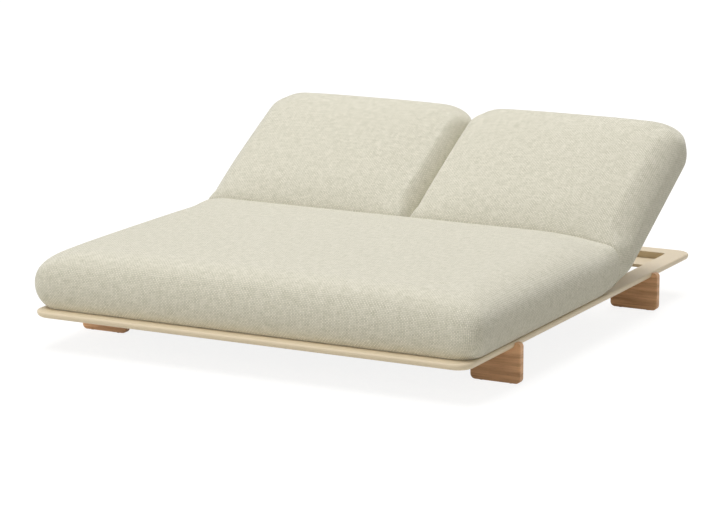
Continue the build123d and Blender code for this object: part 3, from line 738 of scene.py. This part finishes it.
def rounded(u, v, half_u, low_v, high_v, radius_low, radius_high):
    """A point on a rounded rectangle, from one on the square's rim."""
    middle = (low_v + high_v) / 2
    half_v = (high_v - low_v) / 2
    radius = np.where(v < 0, radius_low, radius_high)
    px, py = u * half_u, v * half_v
    cx = np.clip(px, -(half_u - radius), half_u - radius)
    cy = np.clip(py, -(half_v - radius), half_v - radius)
    dx, dy = px - cx, py - cy
    reach = np.hypot(dx, dy)
    straight = reach < TINY
    factor = radius / np.maximum(reach, TINY)
    x = np.where(straight, px, cx + dx * factor)
    y = np.where(straight, py, cy + dy * factor)
    return x, middle + y


def crease_y(height):
    """Where the seat pad's rear end meets the back pads' lower ends, at a height above the deck."""
    return HINGE.y - CREASE_LEAN * (height + BELOW_DECK)


def crease_in_back(height):
    """How far up the back pad its lower end starts, at a height above the backrest's top face."""
    return (height + BELOW_DECK) * CREASE_SLOPE_IN_BACK + CREASE_GAP


def in_back(height):
    """The height in the back pad of a point of the fold that is this high in the seat pad."""
    return FOLD_SCALE * (height + BELOW_DECK) - BELOW_DECK


def seat_outline(u, v, height, inset):
    """The seat pad's outline: round front corners, and a rear end cut along the crease."""
    half = sizes().seat_half_width - inset
    front = FRAME_FRONT + sizes().seat_front_setback + inset
    rear = crease_y(height) - CREASE_GAP
    return rounded(u, v, half, front, rear, SEAT_CORNER + SEAT_CORNER_GROWTH * inset, FOLD_CORNER)


def back_outline(side):
    """A back pad's outline: round upper corners, and a lower end cut along the crease."""
    s = sizes()

    def outline(u, v, height, inset):
        lower = crease_in_back(height)
        upper = s.back_length - inset
        inner = s.middle_gap / 2 + inset * INNER_SHARE
        outer = s.back_half_width - inset
        half = (outer - inner) / 2
        x, y = rounded(u * side, v, half, lower, upper, FOLD_CORNER, BACK_CORNER)
        return side * ((inner + outer) / 2 + x), y

    return outline


def eased_at_fold(places, section, start, way, half, sides):
    """Lift the lower edges of the sides near the fold, where the cover is drawn round the bend.

    The whole lower edge at the fold keeps clear of the backrests' stiles when they are raised.
    """
    x, y, height = places.T
    along = way * (y - start)
    bend = np.clip(1 - along / EASED_LENGTH, 0, 1) ** 2
    rim = np.zeros_like(x)
    for side in sides:
        rim = np.maximum(rim, smooth((side * x - half + EASED_STRIP) / EASED_STRIP_BLEND))
    low = np.clip(1 - height / section.thickness, 0, 1)
    clear_of_stiles = STILE_ROOM - STILE_ROOM_SLOPE * np.maximum(along, 0)
    places[:, 2] += low * np.maximum(section.lift * bend * rim, clear_of_stiles)
    return places


def fallen_at_corners(places, section, along, lean, scale, sides):
    """Let the upper edge fall towards the outer corners near the fold, along the crease's plane."""
    corner = np.zeros(len(places))
    for side in sides:
        fall, reach = CORNER_FALL[side]
        inside = sizes().seat_half_width - side * places[:, 0]
        corner = np.maximum(corner, fall * np.clip(1 - inside / reach, 0, 1) ** 2)
    level = np.clip(places[:, 2] / section.thickness, 0, 1)
    near = smooth(1 - along / CORNER_FALL_LENGTH)
    drop = scale * corner * level ** 2 * near
    places[:, 1] += lean * drop
    places[:, 2] -= drop
    return places


def foot_rounded(places, section):
    """Turn the back pad's face in at its foot, behind the seat pad's edge."""
    height = places[:, 2]
    along = places[:, 1] - crease_in_back(height)
    t = np.clip(1 - along / FOOT_LENGTH, 0, 1)
    level = np.clip(height / section.thickness, 0, 1)
    places[:, 2] -= FOOT_TURN_IN * (1 - np.sqrt(1 - t * t)) * level ** 2
    return places


def write_pad(name, mesh, unit, fold_side, places, to_world):
    """A mesh object from a shaped shell, set in its place."""
    for vertex, place in zip(mesh.verts, places):
        vertex.co = to_world @ Vector(place)
    bmesh.ops.recalc_face_normals(mesh, faces=mesh.faces)
    crease_rims(mesh, unit, fold_side)
    data = bpy.data.meshes.new(name)
    mesh.to_mesh(data)
    mesh.free()
    for polygon in data.polygons:
        polygon.use_smooth = True
    pad = bpy.data.objects.new(name, data)
    bpy.context.scene.collection.objects.link(pad)
    return pad


def crease_rims(mesh, unit, fold_side):
    """Keep the rim of the end at the fold crisp, so that the two covers meet without a groove."""
    crisp = mesh.edges.layers.float.new("crease_edge")
    mesh.verts.index_update()
    across, along, up = unit.T
    at_end = fold_side * along > ON_EDGE
    at_rim = at_end & (np.maximum(np.abs(across), np.abs(up)) > ON_EDGE)
    for edge in mesh.edges:
        first, second = (v.index for v in edge.verts)
        if at_rim[first] and at_rim[second]:
            edge[crisp] = 1.0
            edge.smooth = False


def remember_cloth(pad, to_world):
    """Keep each point's flat place and direction, which the weave follows however the pad bends."""
    data = pad.data
    back = to_world.inverted()
    place = np.array([back @ v.co for v in data.vertices], np.float32)
    turn = back.to_3x3()
    facing = np.array([turn @ v.normal for v in data.vertices], np.float32)
    for label, values in (("pad_place", place), ("pad_facing", facing)):
        attribute = data.attributes.new(label, "FLOAT_VECTOR", "POINT")
        attribute.data.foreach_set("vector", values.ravel())


def stuff(pad, free):
    """Let pressure fill the pad's cover; a point moves at most as far as its own limit."""
    before = np.empty(len(pad.data.vertices) * 3)
    pad.data.vertices.foreach_get("co", before)
    cover = pad.modifiers.new("cover", "CLOTH")
    cloth = cover.settings
    cloth.quality = 6
    cloth.mass = 0.4
    cloth.tension_stiffness = 30.0
    cloth.compression_stiffness = 30.0
    cloth.shear_stiffness = 8.0
    cloth.bending_stiffness = 1.2
    cloth.shrink_min = -COVER_GROWTH
    cloth.use_pressure = True
    cloth.uniform_pressure_force = 4.0
    cloth.effector_weights.gravity = 0.0
    cover.point_cache.frame_start = 1
    cover.point_cache.frame_end = STUFFING_FRAMES
    scene = bpy.context.scene
    for step in range(STUFFING_FRAMES):
        scene.frame_set(step + 1)
    settled = pad.evaluated_get(bpy.context.evaluated_depsgraph_get()).data
    after = np.empty_like(before)
    settled.vertices.foreach_get("co", after)
    pad.modifiers.remove(cover)
    scene.frame_set(1)
    moved = (after - before).reshape(-1, 3)
    reach = np.linalg.norm(moved, axis=1)
    share = np.minimum(reach, free) / np.maximum(reach, TINY)
    kept = before.reshape(-1, 3) + moved * share[:, None]
    pad.data.vertices.foreach_set("co", kept.ravel())
    pad.data.update()


def freedom(unit, face_limit, meets):
    """How far each point may move: not at all on the base, nor where one pad meets another.

    A meeting is a direction, the end of the unit cube that it is at, and how far it reaches in.
    """
    from_sides, from_ends, _ = (1 - np.abs(unit.T)) / FREEDOM_STRIP
    inward = smooth(from_sides) * smooth(from_ends)
    free = SIDE_FREEDOM + (face_limit - SIDE_FREEDOM) * inward
    base = (UP, -1, 0.7)
    for axis, side, reach in (base, *meets):
        free *= smooth((1 - side * unit[:, axis]) / reach)
    return free


def subdivide(pad):
    """Apply one subdivision."""
    modifier = pad.modifiers.new("soften", "SUBSURF")
    modifier.levels = 1
    modifier.render_levels = 1
    bpy.context.view_layer.objects.active = pad
    bpy.ops.object.select_all(action="DESELECT")
    pad.select_set(True)
    bpy.ops.object.modifier_apply(modifier=modifier.name)


def finish_pad(pad, to_world, node):
    """Smooth the pad, lay its cloth on, and let it stand for its solid."""
    subdivide(pad)
    remember_cloth(pad, to_world)
    pad.data.materials.append(bpy.data.materials["sage_ivory_cloth"])
    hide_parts(node)


# Operators


class LOUNGER_OT_finishes(bpy.types.Operator):
    """Make the finishes that all the pieces share"""

    bl_idname = "lounger.finishes"
    bl_label = "Finishes"

    def execute(self, context):
        cloth_material(cloth_group(weave_group()))
        coat_material(coat_group())
        wood_material(grain_group())
        steel_material()
        nylon_material()
        return {"FINISHED"}


class LOUNGER_OT_frame(bpy.types.Operator):
    """Coat the rails, slats, racks, props and backrest frames, and finish their hardware"""

    bl_idname = "lounger.frame"
    bl_label = "Frame"

    def execute(self, context):
        for piece in frame["record"]["subparts"]:
            finish = FINISHES[piece["material_slot"]]
            dress(piece["node"], bpy.data.materials[finish])
        return {"FINISHED"}


class LOUNGER_OT_seat_pad(bpy.types.Operator):
    """Sew the wide seat pad"""

    bl_idname = "lounger.seat_pad"
    bl_label = "Seat pad"

    def execute(self, context):
        s = sizes()
        own, fold = seat_section(), seat_fold()
        sides = SIDES.values()
        mesh = cube_shell(SEAT_CUTS)
        unit = np.array([v.co for v in mesh.verts])
        lift = Matrix.Translation((0, 0, DECK_TOP))
        places = shaped(unit, own, fold, 1, SEAT_FOLD_SHARE, s.seat_crown, seat_outline)
        along = crease_y(places[:, 2]) - places[:, 1]
        places = fallen_at_corners(places, fold, along, CREASE_LEAN, 1.0, sides)
        places = eased_at_fold(places, fold, HINGE.y, -1, s.seat_half_width, sides)
        pad = write_pad("seat_pad", mesh, unit, 1, places, lift)
        stuff(pad, freedom(unit, SEAT_FREEDOM, [(ALONG, 1, 0.3)]))
        finish_pad(pad, lift, "seat_cushion")
        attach(pad, "frame")
        return {"FINISHED"}


class LOUNGER_OT_back_pads(bpy.types.Operator):
    """Sew the two back pads"""

    bl_idname = "lounger.back_pads"
    bl_label = "Back pads"

    def execute(self, context):
        for side, sign in SIDES.items():
            self.sew(side, sign)
        return {"FINISHED"}

    def sew(self, side, sign):
        """Sew the pad of one side; its sign is 1 on the right and -1 on the left."""
        s = sizes()
        own, fold = back_section(), back_fold()
        turn = Matrix.Translation((0, HINGE.y, HINGE.z)) @ Matrix.Rotation(REST_ANGLE, 4, "X")
        turn = turn @ Matrix.Translation((0, 0, BELOW_DECK))
        mesh = cube_shell(BACK_CUTS)
        unit = np.array([v.co for v in mesh.verts])
        places = shaped(unit, own, fold, -1, BACK_FOLD_SHARE, s.back_crown, back_outline(sign))
        along = places[:, 1] - crease_in_back(places[:, 2])
        places = fallen_at_corners(places, fold, along, -CREASE_SLOPE_IN_BACK, FOLD_SCALE, (sign,))
        places = eased_at_fold(places, fold, 0.0, 1, s.back_half_width, (sign,))
        places = foot_rounded(places, fold)
        pad = write_pad(f"back_pad_{side}", mesh, unit, -1, places, turn)
        stuff(pad, freedom(unit, BACK_FREEDOM, [(ALONG, -1, 0.4), (ACROSS, -sign, 0.3)]))
        finish_pad(pad, turn, f"back_cushion_{side}")
        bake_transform(pad)


class LOUNGER_OT_studio(bpy.types.Operator):
    """Lay the floor, hang the lamps and set the camera"""

    bl_idname = "lounger.studio"
    bl_label = "Studio"

    def execute(self, context):
        self.floor()
        self.world()
        for name, (place, size, power) in LAMPS.items():
            self.lamp(name, place, size, power)
        self.camera()
        context.scene.view_settings.view_transform = "Standard"
        return {"FINISHED"}

    def floor(self):
        """A plain pale floor that keeps the lounger's shadow."""
        mesh = bmesh.new()
        bmesh.ops.create_grid(mesh, x_segments=1, y_segments=1, size=FLOOR_HALF_SIZE)
        data = bpy.data.meshes.new("floor")
        mesh.to_mesh(data)
        mesh.free()
        floor = bpy.data.objects.new("floor", data)
        bpy.context.scene.collection.objects.link(floor)
        material, tree, shader = new_material("pale_floor")
        shader.inputs["Roughness"].default_value = 0.9
        shader.inputs["Specular IOR Level"].default_value = 0.0
        shader.inputs["Emission Color"].default_value = WHITE
        seen = where_seen(tree)
        tone = mix_colour(tree, seen, rgba(FLOOR_TONE), rgba(FLOOR_TONE_SEEN))
        feed(tree, shader.inputs["Base Color"], tone)
        glow = maths(tree, "MULTIPLY", seen, FLOOR_GLOW_SEEN)
        feed(tree, shader.inputs["Emission Strength"], glow)
        data.materials.append(material)

    def world(self):
        """Soft light from all around, and a white background."""
        world = bpy.data.worlds.new("studio")
        bpy.context.scene.world = world
        world.use_nodes = True
        tree = world.node_tree
        around = tree.nodes["Background"]
        around.inputs["Color"].default_value = SURROUNDINGS_COLOUR
        around.inputs["Strength"].default_value = SURROUNDINGS_STRENGTH
        white = tree.nodes.new("ShaderNodeBackground")
        white.inputs["Color"].default_value = WHITE
        mix = tree.nodes.new("ShaderNodeMixShader")
        feed(tree, mix.inputs[0], where_seen(tree))
        feed(tree, mix.inputs[1], around)
        feed(tree, mix.inputs[2], white)
        feed(tree, tree.nodes["World Output"].inputs["Surface"], mix)

    def lamp(self, name, place, size, power):
        """A large soft lamp, aimed at the cushions."""
        light = bpy.data.lights.new(name, "AREA")
        light.size = size
        light.energy = power
        light.color = LAMP_COLOUR
        lamp = bpy.data.objects.new(name, light)
        lamp.location = place
        aim = LAMP_AIM - Vector(place)
        lamp.rotation_euler = aim.to_track_quat("-Z", "Y").to_euler()
        bpy.context.scene.collection.objects.link(lamp)

    def camera(self):
        """The camera at the photograph's angle, with its framing."""
        level = math.cos(CAMERA_ELEVATION)
        away = Vector((
            math.sin(CAMERA_AZIMUTH) * level, -math.cos(CAMERA_AZIMUTH) * level,
            math.sin(CAMERA_ELEVATION),
        ))
        lens = bpy.data.cameras.new("camera")
        lens.sensor_width = SENSOR_WIDTH
        lens.lens = SENSOR_WIDTH * FOCAL_PIXELS / PHOTO_WIDTH
        lens.shift_x = (PHOTO_CENTRE_X - VIEW_CENTRE_X) / PHOTO_WIDTH
        lens.clip_end = 200.0
        camera = bpy.data.objects.new("camera", lens)
        camera.location = CAMERA_TARGET + away * CAMERA_DISTANCE
        camera.rotation_euler = away.to_track_quat("Z", "Y").to_euler()
        bpy.context.scene.collection.objects.link(camera)
        bpy.context.scene.camera = camera


class LOUNGER_PT_panel(bpy.types.Panel):
    """The steps that dress the lounger"""

    bl_label = "Lounger"
    bl_idname = "LOUNGER_PT_panel"
    bl_space_type = "VIEW_3D"
    bl_region_type = "UI"
    bl_category = "Lounger"

    def draw(self, context):
        for step in STEPS:
            self.layout.operator(step.bl_idname)


STEPS = (
    LOUNGER_OT_finishes,
    LOUNGER_OT_frame,
    LOUNGER_OT_seat_pad,
    LOUNGER_OT_back_pads,
    LOUNGER_OT_studio,
)
CLASSES = (LoungerSizes, LoungerColours, *STEPS, LOUNGER_PT_panel)


def register():
    """Add the classes, and the scene's own sizes and colours."""
    for item in CLASSES:
        bpy.utils.register_class(item)
    bpy.types.Scene.lounger_sizes = bpy.props.PointerProperty(type=LoungerSizes)
    bpy.types.Scene.lounger_colours = bpy.props.PointerProperty(type=LoungerColours)


def unregister():
    """Take away what register() adds."""
    del bpy.types.Scene.lounger_colours
    del bpy.types.Scene.lounger_sizes
    for item in reversed(CLASSES):
        bpy.utils.unregister_class(item)


def main():
    """Carry out every step."""
    register()
    for step in STEPS:
        group, name = step.bl_idname.split(".")
        getattr(getattr(bpy.ops, group), name)()


if __name__ == "__main__":
    main()
